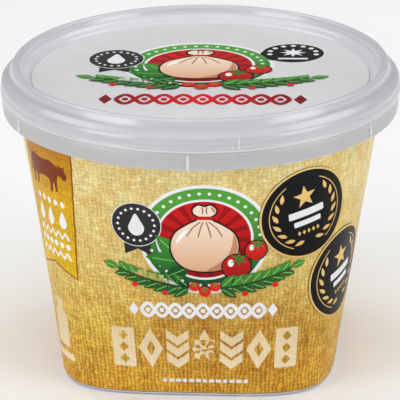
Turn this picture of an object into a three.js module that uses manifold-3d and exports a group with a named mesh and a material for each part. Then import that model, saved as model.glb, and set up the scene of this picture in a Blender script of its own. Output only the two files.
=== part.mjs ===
// A shut tub of fresh cheese: a printed tub whose wall runs from a rounded-square foot to a round rim,
// a press-on lid with a stacking bead, a label round the wall, a label on the lid and two award stickers.
// Millimetres, +Z up. The origin is the middle of the foot, and the front wall faces -Y.

import * as THREE from 'three';
import { mergeVertices } from 'three/addons/utils/BufferGeometryUtils.js';
import Module from 'manifold-3d';

const wasm = await Module();
wasm.setup();

// Tub. A section's half width is half its size across the flats; its squareness is the exponent of
// the superellipse |x|^n + |y|^n = a^n, which is a circle at 2 and nears a square as it grows.
const FOOT_HALF_WIDTH = 34.75;
const FOOT_SQUARENESS = 4.1;
const FOOT_RADIUS = 2.0;
const WALL_TOP_HALF_WIDTH = 45.05;
const WALL_TOP_SQUARENESS = 2.4;
const WALL_TOP_HEIGHT = 65.0;

// Skirt: the band round the rim that the lid presses down on, with upright ribs.
const SKIRT_LOWER_RADIUS = 49.5;
const SKIRT_UPPER_RADIUS = 49.8;
const SKIRT_EDGE = 0.3;
const SKIRT_TOP_HEIGHT = 69.5;
const RIB_COUNT = 6;
const RIB_WIDTH = 0.8;
const RIB_PROUD = 0.35;
const RIB_ROOT = 1.0;
const RIB_ANGLE_FROM_FRONT = THREE.MathUtils.degToRad(1);

// Lid: its rim has a fine step, and a shoulder leads up to the stacking bead round the sunk panel.
const LID_RADIUS = 50.0;
const LID_BOTTOM_HEIGHT = 69.8;
const LID_TOP_HEIGHT = 77.0;
const LID_PANEL_HEIGHT = 72.55;
const RIM_CHAMFER = 0.2;
const RIM_BAND_HEIGHT = 1.2;
const RIM_STEP = 0.12;
const RIM_HEIGHT = 2.5;
const SHOULDER_ROUND = 1.5;
const SHOULDER_END = THREE.MathUtils.degToRad(55);
const BEAD_RADIUS = 46.1;
const BEAD_ROUND = 1.05;
const BEAD_END = THREE.MathUtils.degToRad(170);
const BEAD_ROOT = { radius: 47.8, height: 74.6 };
const CREASE = { radius: 44.5, height: 74.8 };
const LEDGE = { radius: 43.8, height: 74.1 };
const PANEL_CORNER = 0.3;

// Labels and stickers: thin skins, each clear of what it lies on.
const SKIN_GAP = 0.3;
const SKIN_THICKNESS = 0.35;
const LABEL_BOTTOM_HEIGHT = 1.3;
const LABEL_TOP_HEIGHT = 64.6;
const LID_LABEL_RADIUS = 42.3;
const LID_LABEL_EDGE = 0.12;
const STICKER_RADIUS = 12.15;
const STICKER_GAP = 0.12;
const STICKER_THICKNESS = 0.15;
const STICKER_BANDS = [0.3, 0.65, 1];
const STICKER_SIDES = 40;
const STICKER_PLACES = {
  award_sticker_front: { fromFront: 29.5, height: 50.2 },
  award_sticker_side: { fromFront: 41.9, height: 30.6 },
};

const SEGMENTS = 96;
const FOOT_STEPS = 4;
const WALL_STEPS = 5;
const FRONT_ANGLE = -Math.PI / 2;

const CLEAR_PLASTIC = { color: 0xdadae2, roughness: 0.28, metalness: 0 };
const LID_PLASTIC = { color: 0xd6d6de, roughness: 0.3, metalness: 0 };
const BURLAP_PRINT = { color: 0xd9a94a, roughness: 0.45, metalness: 0 };
const WHITE_PRINT = { color: 0xe6e6ea, roughness: 0.4, metalness: 0 };
const BLACK_STICKER = { color: 0x17161a, roughness: 0.35, metalness: 0 };

// A point of a superellipse section at a polar angle.
function sectionPoint(halfWidth, squareness, angle, height) {
  const across = Math.abs(Math.cos(angle)) ** squareness;
  const along = Math.abs(Math.sin(angle)) ** squareness;
  const radius = halfWidth * (across + along) ** (-1 / squareness);
  return new THREE.Vector3(radius * Math.cos(angle), radius * Math.sin(angle), height);
}

// A point of the printed wall: straight lines join the foot's section to the round rim's.
function wallPoint(angle, height, outset = 0) {
  const foot = sectionPoint(FOOT_HALF_WIDTH + outset, FOOT_SQUARENESS, angle, FOOT_RADIUS);
  const top = sectionPoint(WALL_TOP_HALF_WIDTH + outset, WALL_TOP_SQUARENESS, angle, WALL_TOP_HEIGHT);
  const share = (height - FOOT_RADIUS) / (WALL_TOP_HEIGHT - FOOT_RADIUS);
  return foot.lerp(top, share);
}

function ringOf(pointAt) {
  return Array.from({ length: SEGMENTS }, (_, i) => pointAt((2 * Math.PI * i) / SEGMENTS));
}

const wallRing = (height, outset) => ringOf((angle) => wallPoint(angle, height, outset));
const roundRing = (radius, height) => ringOf((angle) => sectionPoint(radius, 2, angle, height));

// The quarter circle that turns the wall into the flat foot, from the floor up.
function footRings() {
  return Array.from({ length: FOOT_STEPS + 1 }, (_, i) => {
    const turn = (i / FOOT_STEPS) * (Math.PI / 2);
    const halfWidth = FOOT_HALF_WIDTH - FOOT_RADIUS * (1 - Math.sin(turn));
    const height = FOOT_RADIUS * (1 - Math.cos(turn));
    return ringOf((angle) => sectionPoint(halfWidth, FOOT_SQUARENESS, angle, height));
  });
}

// Rings of the wall between two heights, moved in or out from the printed face.
function wallRings(from, to, outset) {
  return Array.from({ length: WALL_STEPS + 1 }, (_, i) => {
    return wallRing(THREE.MathUtils.lerp(from, to, i / WALL_STEPS), outset);
  });
}

// The points on the axis where flat caps over the first and the last ring come together.
function middlesOf(rings) {
  return [rings[0], rings.at(-1)].map((ring) => new THREE.Vector3(0, 0, ring[0].z));
}

// A body from rings of equal count. It ends in caps, or as a sleeve its last ring joins its first.
function skinRings(rings, { sleeve = false, ends = middlesOf(rings) } = {}) {
  const count = rings[0].length;
  const positions = rings.flat().flatMap((p) => [p.x, p.y, p.z]);
  const faces = [];
  const joins = sleeve ? rings.length : rings.length - 1;
  for (let j = 0; j < joins; j++) {
    const lower = j * count;
    const upper = ((j + 1) % rings.length) * count;
    for (let i = 0; i < count; i++) {
      const k = (i + 1) % count;
      faces.push(lower + i, lower + k, upper + k, lower + i, upper + k, upper + i);
    }
  }
  if (!sleeve) {
    const last = (rings.length - 1) * count;
    const first = rings.length * count;
    ends.forEach((p) => positions.push(p.x, p.y, p.z));
    for (let i = 0; i < count; i++) {
      const k = (i + 1) % count;
      faces.push(first, k, i, first + 1, last + i, last + k);
    }
  }
  const geometry = new THREE.BufferGeometry();
  geometry.setAttribute('position', new THREE.Float32BufferAttribute(positions, 3));
  geometry.setIndex(faces);
  return geometry;
}

// Body turned about +Z from a profile of (radius, height) points.
function turned(profile) {
  const points = profile.map(([radius, height]) => new THREE.Vector2(radius, height));
  return new THREE.LatheGeometry(points, SEGMENTS).rotateX(Math.PI / 2);
}

function toSolid(geometry) {
  const bare = geometry.clone();
  bare.deleteAttribute('normal');
  bare.deleteAttribute('uv');
  const merged = mergeVertices(bare, 1e-4);
  const vertProperties = new Float32Array(merged.attributes.position.array);
  const triVerts = new Uint32Array(merged.index.array);
  return new wasm.Manifold(new wasm.Mesh({ numProp: 3, vertProperties, triVerts }));
}

function toGeometry(solid) {
  const { vertProperties, triVerts } = solid.getMesh();
  const geometry = new THREE.BufferGeometry();
  geometry.setAttribute('position', new THREE.BufferAttribute(vertProperties, 3));
  geometry.setIndex(new THREE.BufferAttribute(triVerts, 1));
  return geometry;
}

// One upright rib, rooted in the skirt and a little proud of its face.
function rib(index) {
  const height = SKIRT_TOP_HEIGHT - WALL_TOP_HEIGHT - 2 * SKIRT_EDGE;
  const middle = (SKIRT_TOP_HEIGHT + WALL_TOP_HEIGHT) / 2;
  const shape = new THREE.BoxGeometry(RIB_ROOT + RIB_PROUD, RIB_WIDTH, height);
  shape.translate(SKIRT_LOWER_RADIUS + (RIB_PROUD - RIB_ROOT) / 2, 0, middle);
  return shape.rotateZ(FRONT_ANGLE + RIB_ANGLE_FROM_FRONT + (2 * Math.PI * index) / RIB_COUNT);
}

// The tub: foot, wall with a shallow recess for the label, and the ribbed skirt. It is solid, shut and full.
function tub() {
  const recess = -(SKIN_GAP + SKIN_THICKNESS);
  const recessBottom = LABEL_BOTTOM_HEIGHT - SKIN_GAP;
  const rings = [
    ...footRings().filter((ring) => ring[0].z < recessBottom),
    wallRing(recessBottom, 0),
    ...wallRings(recessBottom, WALL_TOP_HEIGHT, recess),
    roundRing(SKIRT_LOWER_RADIUS - SKIRT_EDGE, WALL_TOP_HEIGHT),
    roundRing(SKIRT_LOWER_RADIUS, WALL_TOP_HEIGHT + SKIRT_EDGE),
    roundRing(SKIRT_UPPER_RADIUS, SKIRT_TOP_HEIGHT - SKIRT_EDGE),
    roundRing(SKIRT_UPPER_RADIUS - SKIRT_EDGE, SKIRT_TOP_HEIGHT),
  ];
  let solid = toSolid(skinRings(rings));
  for (let i = 0; i < RIB_COUNT; i++) solid = solid.add(toSolid(rib(i)));
  return toGeometry(solid);
}

// Points of (radius, height) along an arc, from straight outwards towards straight up.
function arc(radius, height, round, end, steps) {
  return Array.from({ length: steps + 1 }, (_, i) => {
    const turn = (end * i) / steps;
    return [radius + round * Math.cos(turn), height + round * Math.sin(turn)];
  });
}

// The lid: a stepped rim, a shoulder, the stacking bead, a creased inner slope and the sunk panel.
function lid() {
  const step = LID_RADIUS - RIM_STEP;
  const corner = LID_LABEL_RADIUS + SKIN_GAP + PANEL_CORNER;
  return turned([
    [0, LID_BOTTOM_HEIGHT],
    [LID_RADIUS - RIM_CHAMFER, LID_BOTTOM_HEIGHT],
    [LID_RADIUS, LID_BOTTOM_HEIGHT + RIM_CHAMFER],
    [LID_RADIUS, LID_BOTTOM_HEIGHT + RIM_BAND_HEIGHT],
    [step, LID_BOTTOM_HEIGHT + RIM_BAND_HEIGHT + RIM_CHAMFER],
    ...arc(step - SHOULDER_ROUND, LID_BOTTOM_HEIGHT + RIM_HEIGHT, SHOULDER_ROUND, SHOULDER_END, 3),
    [BEAD_ROOT.radius, BEAD_ROOT.height],
    ...arc(BEAD_RADIUS, LID_TOP_HEIGHT - BEAD_ROUND, BEAD_ROUND, BEAD_END, 6),
    [CREASE.radius, CREASE.height],
    [LEDGE.radius, LEDGE.height],
    [corner, LID_PANEL_HEIGHT + PANEL_CORNER],
    [corner - PANEL_CORNER, LID_PANEL_HEIGHT],
    [0, LID_PANEL_HEIGHT],
  ]);
}

// The wrap label: a sleeve in the wall's recess, its face flush with the foot.
function tubLabel() {
  const outer = wallRings(LABEL_BOTTOM_HEIGHT, LABEL_TOP_HEIGHT, 0);
  const inner = wallRings(LABEL_BOTTOM_HEIGHT, LABEL_TOP_HEIGHT, -SKIN_THICKNESS);
  return skinRings([...outer, ...inner.reverse()], { sleeve: true });
}

function lidLabel() {
  const bottom = LID_PANEL_HEIGHT + SKIN_GAP;
  const top = bottom + SKIN_THICKNESS;
  return turned([
    [0, bottom],
    [LID_LABEL_RADIUS, bottom],
    [LID_LABEL_RADIUS, top - LID_LABEL_EDGE],
    [LID_LABEL_RADIUS - LID_LABEL_EDGE, top],
    [0, top],
  ]);
}

// The polar angle reached from another by walking a length round the wall at one height.
function angleAlongWall(start, length, height) {
  const steps = 24;
  const nudge = 0.01;
  let angle = start;
  for (let i = 0; i < steps; i++) {
    const ahead = wallPoint(angle + nudge, height);
    const behind = wallPoint(angle - nudge, height);
    angle += (2 * nudge * length) / steps / ahead.distanceTo(behind);
  }
  return angle;
}

// Rings of a round sticker's face, bent to the wall round its middle.
function stickerRings(middle, height, outset) {
  const slope = Math.atan((WALL_TOP_HALF_WIDTH - FOOT_HALF_WIDTH) / (WALL_TOP_HEIGHT - FOOT_RADIUS));
  return STICKER_BANDS.map((share) => {
    const reach = STICKER_RADIUS * share;
    return Array.from({ length: STICKER_SIDES }, (_, i) => {
      const turn = (2 * Math.PI * i) / STICKER_SIDES;
      const level = height + reach * Math.sin(turn) * Math.cos(slope);
      return wallPoint(angleAlongWall(middle, reach * Math.cos(turn), level), level, outset);
    });
  });
}

// A sticker on the label; its middle lies a length round the wall to the right of the front's middle.
function sticker({ fromFront, height }) {
  const middle = angleAlongWall(FRONT_ANGLE, fromFront, height);
  const outer = STICKER_GAP + STICKER_THICKNESS;
  const back = stickerRings(middle, height, STICKER_GAP);
  const face = stickerRings(middle, height, outer).reverse();
  const ends = [wallPoint(middle, height, STICKER_GAP), wallPoint(middle, height, outer)];
  return skinRings([...back, ...face], { ends });
}

function named(name, geometry, finish) {
  const mesh = new THREE.Mesh(geometry, new THREE.MeshStandardMaterial(finish));
  mesh.name = name;
  return mesh;
}

const pack = new THREE.Group();
pack.add(named('tub', tub(), CLEAR_PLASTIC));
pack.add(named('lid', lid(), LID_PLASTIC));
pack.add(named('tub_label', tubLabel(), BURLAP_PRINT));
pack.add(named('lid_label', lidLabel(), WHITE_PRINT));
for (const [name, place] of Object.entries(STICKER_PLACES)) {
  pack.add(named(name, sticker(place), BLACK_STICKER));
}

export default pack;
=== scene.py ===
"""A shut tub of fresh cheese: milky tub and press-on lid, a sackcloth wrap label, a lid label,
printed artwork and two award stickers. Metres, +Z up, and the front of the label faces -Y.

Artwork is drawn flat, in millimetres, and laid on the wall, the lid or a sticker as thin ink.
"""

import math
from contextlib import contextmanager

import bpy
import numpy as np
from mathutils import Matrix, Vector


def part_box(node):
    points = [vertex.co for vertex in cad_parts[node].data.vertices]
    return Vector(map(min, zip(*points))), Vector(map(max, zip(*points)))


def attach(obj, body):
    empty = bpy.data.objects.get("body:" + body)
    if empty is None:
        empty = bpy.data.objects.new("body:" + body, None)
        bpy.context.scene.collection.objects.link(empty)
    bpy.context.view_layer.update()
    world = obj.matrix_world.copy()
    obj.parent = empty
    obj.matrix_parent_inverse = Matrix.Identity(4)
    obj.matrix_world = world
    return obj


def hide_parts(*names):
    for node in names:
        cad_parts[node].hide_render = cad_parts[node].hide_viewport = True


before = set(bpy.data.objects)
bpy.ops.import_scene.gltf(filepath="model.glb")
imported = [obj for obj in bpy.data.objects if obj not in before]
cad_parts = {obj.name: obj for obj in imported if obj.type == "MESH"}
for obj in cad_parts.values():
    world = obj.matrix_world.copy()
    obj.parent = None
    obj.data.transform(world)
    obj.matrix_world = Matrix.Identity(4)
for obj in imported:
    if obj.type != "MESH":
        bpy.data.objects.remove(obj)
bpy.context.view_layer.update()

bl_info = {
    "name": "Fresh cheese tub",
    "version": (1, 0, 0),
    "blender": (4, 5, 0),
    "location": "View3D > Sidebar > Cheese tub",
    "description": "Builds a shut cheese tub with its lid, labels, printed artwork and award stickers",
    "category": "Add Mesh",
}

MM = 0.001
FRONT = -math.pi / 2

# The printed wall: superellipse sections at the foot and under the skirt, joined by straight lines.
FOOT_HALF_WIDTH = 34.75 * MM
FOOT_SQUARENESS = 4.1
FOOT_RADIUS = 2.0 * MM
WALL_TOP_HALF_WIDTH = 45.05 * MM
WALL_TOP_SQUARENESS = 2.4
WALL_TOP_HEIGHT = 65.0 * MM
WALL_RISE = math.cos(math.atan((WALL_TOP_HALF_WIDTH - FOOT_HALF_WIDTH) / (WALL_TOP_HEIGHT - FOOT_RADIUS)))

# The tub's own wall lies behind the label. The skirt is (radius, height) in millimetres, its ribs are too,
# and the first rib's turn is in degrees from the front.
RECESS = 0.65 * MM
RECESS_BOTTOM = 1.0 * MM
WALL_RINGS = 12
SKIRT = [(49.2, 65.0), (49.42, 65.08), (49.5, 65.3), (49.8, 69.2), (49.72, 69.42), (49.5, 69.5)]
RIB_COUNT = 6
RIB_FIRST_TURN = 1.0
RIB_MIDDLE = (49.175, 0, 67.25)
RIB_SIZE = (1.35, 0.8, 3.9)
RIB_BEVEL = 0.12

# Radii inside which a turned body's underside and top are one flat face.
TUB_CORE = 12.0 * MM
LID_CORE = 30.0 * MM
TOP_CORE = 20.0 * MM

LABEL_BOTTOM = 1.3 * MM
LABEL_TOP = 64.6 * MM
LABEL_THICKNESS = 0.35 * MM
LABEL_COLUMNS, LABEL_ROWS = 288, 14
LAP_WIDTH = 4.2
LAP_MARGIN = 0.1
LAP_THICKNESS = 0.05 * MM
LAP_OUTSET = 0.08 * MM
PRINT_HEIGHT = 33.0 * MM

# Flat work is cut in cells, in millimetres, so that it can bend. Inks lie in layers over their surface.
CELL_ACROSS = 1.2
CELL_UP = 3.0
INK_THICKNESS = 0.012 * MM
INK_FIRST = 0.03 * MM
INK_STEP = 0.016 * MM


# ---- The wall, and the ways of laying flat work on it ----

def unit(vectors):
    return vectors / np.linalg.norm(vectors, axis=-1, keepdims=True)


def cos_sin(degrees):
    return math.cos(math.radians(degrees)), math.sin(math.radians(degrees))


def section(half_width, squareness, angle):
    """Points (x, y) of a superellipse at polar angles."""
    across = np.abs(np.cos(angle)) ** squareness
    along = np.abs(np.sin(angle)) ** squareness
    radius = half_width * (across + along) ** (-1 / squareness)
    return np.stack([radius * np.cos(angle), radius * np.sin(angle)], axis=-1)


def wall_share(height):
    """How far up the printed wall: 0 above the foot's rounding, 1 under the skirt."""
    return (height - FOOT_RADIUS) / (WALL_TOP_HEIGHT - FOOT_RADIUS)


def wall_half_width(height):
    return FOOT_HALF_WIDTH + (WALL_TOP_HALF_WIDTH - FOOT_HALF_WIDTH) * wall_share(height)


def wall_point(angle, height, outset=0.0):
    """Points of the printed face at polar angles and heights."""
    foot = section(FOOT_HALF_WIDTH + outset, FOOT_SQUARENESS, angle)
    top = section(WALL_TOP_HALF_WIDTH + outset, WALL_TOP_SQUARENESS, angle)
    return np.concatenate([foot + (top - foot) * wall_share(height)[..., None], height[..., None]], axis=-1)


def wall_axes(angle, height):
    """Point, direction round the wall, direction up it and outward normal."""
    turn, lift = 1e-3, 0.5 * MM
    point = wall_point(angle, height)
    round_way = unit(wall_point(angle + turn, height) - wall_point(angle - turn, height))
    up_way = wall_point(angle, height + lift) - wall_point(angle, height - lift)
    out_way = unit(np.cross(round_way, up_way))
    return point, round_way, np.cross(out_way, round_way), out_way


# Lengths round the wall at the print height, for turns from the front to a little past the back.
TABLE_TURNS = np.linspace(-1.2 * math.pi, 1.2 * math.pi, 8641)
TABLE_RING = wall_point(FRONT + TABLE_TURNS, np.full_like(TABLE_TURNS, PRINT_HEIGHT))
TABLE_LENGTHS = np.concatenate([[0], np.cumsum(np.linalg.norm(np.diff(TABLE_RING, axis=0), axis=1))])
TABLE_LENGTHS -= TABLE_LENGTHS[len(TABLE_LENGTHS) // 2]
HALF_GIRTH = float(np.interp(math.pi, TABLE_TURNS, TABLE_LENGTHS))


def fanned(flat):
    """Lays label work: x is the length round the wall from the front at the print height, y the height."""
    angle = FRONT + np.interp(flat[:, 0], TABLE_LENGTHS, TABLE_TURNS)
    return wall_axes(angle, flat[:, 1])


def walk_round(start, length, height):
    """Angles reached from one angle by walking lengths round the wall at given heights."""
    steps, nudge = 24, 0.01
    angle = np.full_like(height, start)
    for _ in range(steps):
        reach = wall_point(angle + nudge, height) - wall_point(angle - nudge, height)
        angle = angle + 2 * nudge * length / steps / np.linalg.norm(reach, axis=-1)
    return angle


def true_shape(from_front, height, turn):
    """Lays round work with no stretch: its middle lies a length round the wall to the front's right."""
    middle = float(walk_round(FRONT, np.array([from_front * MM]), np.array([height * MM]))[0])
    cos, sin = cos_sin(turn)

    def where(flat):
        x, y = flat[:, 0] * cos - flat[:, 1] * sin, flat[:, 0] * sin + flat[:, 1] * cos
        level = height * MM + y * WALL_RISE
        return wall_axes(walk_round(middle, x, level), level)

    return where


def on_lid(x, y, turn, level):
    """Lays work flat on the lid label, turned about a point."""
    cos, sin = cos_sin(turn)

    def where(flat):
        count = len(flat)
        point = np.stack([x * MM + flat[:, 0] * cos - flat[:, 1] * sin,
                          y * MM + flat[:, 0] * sin + flat[:, 1] * cos, np.full(count, level)], axis=-1)
        ways = ([cos, sin, 0.0], [-sin, cos, 0.0], [0.0, 0.0, 1.0])
        return (point, *(np.tile(way, (count, 1)) for way in ways))

    return where


def raised(where, outset):
    """The same surface, lifted along its normals."""
    def lifted(flat):
        point, round_way, up_way, out_way = where(flat)
        return point + out_way * outset, round_way, up_way, out_way

    return lifted


# ---- Modelling by operators ----

def deselect():
    bpy.ops.object.select_all(action="DESELECT")


def only(piece):
    """Selects one piece alone and makes it active."""
    deselect()
    piece.select_set(True)
    bpy.context.view_layer.objects.active = piece


@contextmanager
def editing(piece):
    """Edit mode on one piece, with all of it selected."""
    only(piece)
    bpy.ops.object.mode_set(mode="EDIT")
    bpy.ops.mesh.select_mode(type="VERT")
    bpy.ops.mesh.select_all(action="SELECT")
    yield
    bpy.ops.object.mode_set(mode="OBJECT")


def placed():
    """The piece just added, with its place and size in its mesh."""
    piece = bpy.context.object
    only(piece)
    bpy.ops.object.transform_apply(location=True, rotation=True, scale=True)
    return piece


def thicken(piece, thickness):
    """Gives flat work its thickness, outwards."""
    only(piece)
    modifier = piece.modifiers.new("Solidify", "SOLIDIFY")
    modifier.thickness = thickness
    modifier.offset = -1
    bpy.ops.object.modifier_apply(modifier=modifier.name)


def hand_over(piece, name, material, slot, *nodes):
    """Names and dresses a piece: it rides on the one body and takes the material given. The slot is not used.
    """
    piece.name = piece.data.name = name
    piece.data.materials.clear()
    piece.data.materials.append(material)
    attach(piece, "root")
    if nodes:
        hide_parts(*nodes)


def turned(profile, sides, core):
    """A body of revolution: a round face raised ring by ring along a profile of (radius, height)."""
    radius, height = core, profile[0][1]
    deselect()
    bpy.ops.mesh.primitive_circle_add(vertices=sides, radius=core, fill_type="NGON", location=(0, 0, height))
    piece = placed()
    with editing(piece):
        for next_radius, next_height in profile + [(TOP_CORE, profile[-1][1])]:
            bpy.ops.mesh.extrude_region_move(TRANSFORM_OT_translate={"value": (0, 0, next_height - height)})
            share = next_radius / radius
            bpy.ops.transform.resize(value=(share, share, 1), center_override=(0, 0, next_height))
            radius, height = next_radius, next_height
        bpy.ops.mesh.select_all(action="SELECT")
        bpy.ops.mesh.remove_doubles(threshold=1e-7)
        bpy.ops.mesh.normals_make_consistent(inside=False)
    return piece


def smooth(piece, degrees=30.0):
    only(piece)
    bpy.ops.object.shade_smooth_by_angle(angle=math.radians(degrees), keep_sharp_edges=False)
    return piece


def read(items, key, width=1, kind=float):
    """One attribute of a mesh's vertices, corners or faces, a row for each."""
    values = np.zeros(len(items) * width, kind)
    items.foreach_get(key, values)
    return values.reshape(-1, width) if width > 1 else values


def coordinates(mesh):
    return read(mesh.vertices, "co", 3)


def place_vertices(mesh, points):
    mesh.vertices.foreach_set("co", np.asarray(points, float).ravel())
    mesh.update()


def square_up(piece):
    """Presses a turned body, up to the wall's top, from round to the wall's rounded-square section."""
    points = coordinates(piece.data)
    angle, height = np.arctan2(points[:, 1], points[:, 0]), points[:, 2]
    radius = np.hypot(points[:, 0], points[:, 1])
    outset = radius - wall_half_width(height)
    wall = (height <= WALL_TOP_HEIGHT + 1e-6) & (radius < WALL_TOP_HALF_WIDTH)
    points[wall] = wall_point(angle[wall], height[wall], outset[wall])
    place_vertices(piece.data, points)


def cut_in_cells(piece, across, up):
    """Cuts flat work along a lattice, so that it can bend."""
    points = coordinates(piece.data)
    with editing(piece):
        for axis, pitch, normal in ((0, across * MM, (1, 0, 0)), (1, up * MM, (0, 1, 0))):
            low, high = points[:, axis].min(), points[:, axis].max()
            for step in range(math.ceil(low / pitch + 1e-3), math.floor(high / pitch - 1e-3) + 1):
                bpy.ops.mesh.select_all(action="SELECT")
                bpy.ops.mesh.bisect(plane_co=[x * step * pitch for x in normal], plane_no=normal)


def lay(piece, where, outset, origin=(0.0, 0.0), scale=1.0):
    """Bends flat work on to its surface, a distance out, and keeps its flat places as its map."""
    mesh = piece.data
    flat = coordinates(mesh)
    corners = read(mesh.loops, "vertex_index", kind=int)
    facing = np.repeat(read(mesh.polygons, "normal", 3), read(mesh.polygons, "loop_total", kind=int), axis=0)
    for old in list(mesh.uv_layers):
        mesh.uv_layers.remove(old)
    own = (flat[corners, :2] - np.array(origin) * MM) / scale
    mesh.uv_layers.new(name="flat").data.foreach_set("uv", own.ravel())
    point, *ways = where(flat[:, :2])
    place_vertices(mesh, point + ways[2] * (flat[:, 2:] + outset))
    mesh.polygons.foreach_set("use_smooth", np.ones(len(mesh.polygons), bool))
    normals = unit(sum(way[corners] * facing[:, i:i + 1] for i, way in enumerate(ways)))
    mesh.normals_split_custom_set([tuple(n) for n in normals])


def flat_shape(loops):
    """A flat mesh from closed outlines in millimetres; a loop inside another is a hole."""
    curve = bpy.data.curves.new("outline", "CURVE")
    curve.dimensions = "2D"
    curve.fill_mode = "FRONT"
    for loop in loops:
        spline = curve.splines.new("POLY")
        spline.points.add(len(loop) - 1)
        spline.points.foreach_set("co", [c for x, y in loop for c in (x * MM, y * MM, 0.0, 1.0)])
        spline.use_cyclic_u = True
    piece = bpy.data.objects.new("outline", curve)
    bpy.context.scene.collection.objects.link(piece)
    only(piece)
    bpy.ops.object.convert(target="MESH")
    piece = bpy.context.object
    with editing(piece):
        bpy.ops.mesh.remove_doubles(threshold=1e-6)
    if sum(p.normal.z * p.area for p in piece.data.polygons) < 0:
        with editing(piece):
            bpy.ops.mesh.flip_normals()
    return piece


# ---- Flat outlines, in millimetres and degrees ----

def shifted(loop, x, y, scale=1.0, turn=0.0, tall=None):
    """An outline scaled, turned and moved."""
    cos, sin = cos_sin(turn)
    tall = scale if tall is None else tall
    return [(x + px * scale * cos - py * tall * sin, y + px * scale * sin + py * tall * cos)
            for px, py in loop]


def mirrored(loop):
    return [(-x, y) for x, y in reversed(loop)]


def both(loops):
    """Outlines with their mirror images."""
    return loops + [mirrored(loop) for loop in loops]


def symmetric(half):
    """A closed outline from its right half; a point on the middle line isn't doubled."""
    return half + [(x, y) for x, y in mirrored(half) if x]


def oval(x, y, rx, ry=None, sides=56, start=0.0, sweep=360.0):
    """A closed oval, or the open path of a sweep of it."""
    ry = rx if ry is None else ry
    count = sides if sweep == 360.0 else sides + 1
    turns = [math.radians(start + sweep * i / sides) for i in range(count)]
    return [(x + rx * math.cos(t), y + ry * math.sin(t)) for t in turns]


def hoop(x, y, outer, inner, sides=72):
    return [oval(x, y, outer, sides=sides), oval(x, y, inner, sides=sides)]


def beads(rx, ry, radius, turns, sides=12):
    """Round dots on an oval, at turns from its right."""
    return [oval(rx * cos, ry * sin, radius, sides=sides) for cos, sin in map(cos_sin, turns)]


def bar(x, y, width, height, corner=0.3):
    """A bar with rounded corners about its middle."""
    loop = []
    for quarter, (side, end) in enumerate(((1, 1), (-1, 1), (-1, -1), (1, -1))):
        middle = x + side * (width / 2 - corner), y + end * (height / 2 - corner)
        loop += oval(*middle, corner, sides=4, start=90.0 * quarter, sweep=90.0)
    return loop


def lozenge(x, y, width, height):
    return [(x + width / 2, y), (x, y + height / 2), (x - width / 2, y), (x, y - height / 2)]


def leaf(x, y, length, width, heading, steps=8):
    """A pointed leaf from its base along a heading."""
    side = [(length * share, width / 2 * math.sin(math.pi * share ** 0.8))
            for share in (i / steps for i in range(steps + 1))]
    loop = side + [(px, -py) for px, py in side[-2:0:-1]]
    return shifted(loop, x, y, turn=heading)


def midrib(x, y, length, heading, width=0.26):
    """The midrib of a leaf, from near its base to near its tip."""
    cos, sin = cos_sin(heading)
    return strip([(x + length * t * cos, y + length * t * sin) for t in (0.12, 0.8)], width)


def star(x, y, outer, inner, points=5):
    """A star with one point up."""
    turns = [cos_sin(90.0 + 180.0 * i / points) for i in range(2 * points)]
    return [(x + (inner if i % 2 else outer) * cos, y + (inner if i % 2 else outer) * sin)
            for i, (cos, sin) in enumerate(turns)]


def strip(path, width):
    """A band of even width along an open path."""
    left, right = [], []
    for i, (x, y) in enumerate(path):
        (ax, ay), (bx, by) = path[max(i - 1, 0)], path[min(i + 1, len(path) - 1)]
        span = math.hypot(bx - ax, by - ay)
        nx, ny = -(by - ay) / span * width / 2, (bx - ax) / span * width / 2
        left.append((x + nx, y + ny))
        right.append((x - nx, y - ny))
    return right + left[::-1]


def edging(loop, width):
    """A line of even width that follows a closed outline."""
    points = np.array(loop)
    ahead, behind = np.roll(points, -1, axis=0), np.roll(points, 1, axis=0)
    side = unit(ahead - behind)[:, ::-1] * np.array([1, -1]) * width / 2
    return [[tuple(p) for p in points + side], [tuple(p) for p in points - side]]


def frayed(path, step, depth):
    """An open path cut into even steps, each put a little out of line."""
    points, chance = [path[0]], np.random.default_rng(5)
    for (ax, ay), (bx, by) in zip(path, path[1:]):
        span = math.hypot(bx - ax, by - ay)
        count = int(span / step)
        for i in range(1, count):
            share, off = i / count, chance.uniform(-depth, depth) / span
            points.append((ax + (bx - ax) * share - (by - ay) * off,
                           ay + (by - ay) * share + (bx - ax) * off))
        points.append((bx, by))
    return points


def rounded(points, steps=5):
    """A smooth closed line through points."""
    loop, count = [], len(points)
    for i in range(count):
        p0, p1, p2, p3 = (np.array(points[(i + k) % count]) for k in (-1, 0, 1, 2))
        for t in (s / steps for s in range(steps)):
            loop.append(tuple(0.5 * (2 * p1 + (p2 - p0) * t + (2 * p0 - 5 * p1 + 4 * p2 - p3) * t * t
                                     + (3 * p1 - p0 - 3 * p2 + p3) * t ** 3)))
    return loop


# ---- Materials ----

def tone(red, green, blue):
    """A colour from display values 0 to 255 to linear light."""
    def linear(value):
        value /= 255
        return value / 12.92 if value <= 0.04045 else ((value + 0.055) / 1.055) ** 2.4
    return (linear(red), linear(green), linear(blue))


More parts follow.
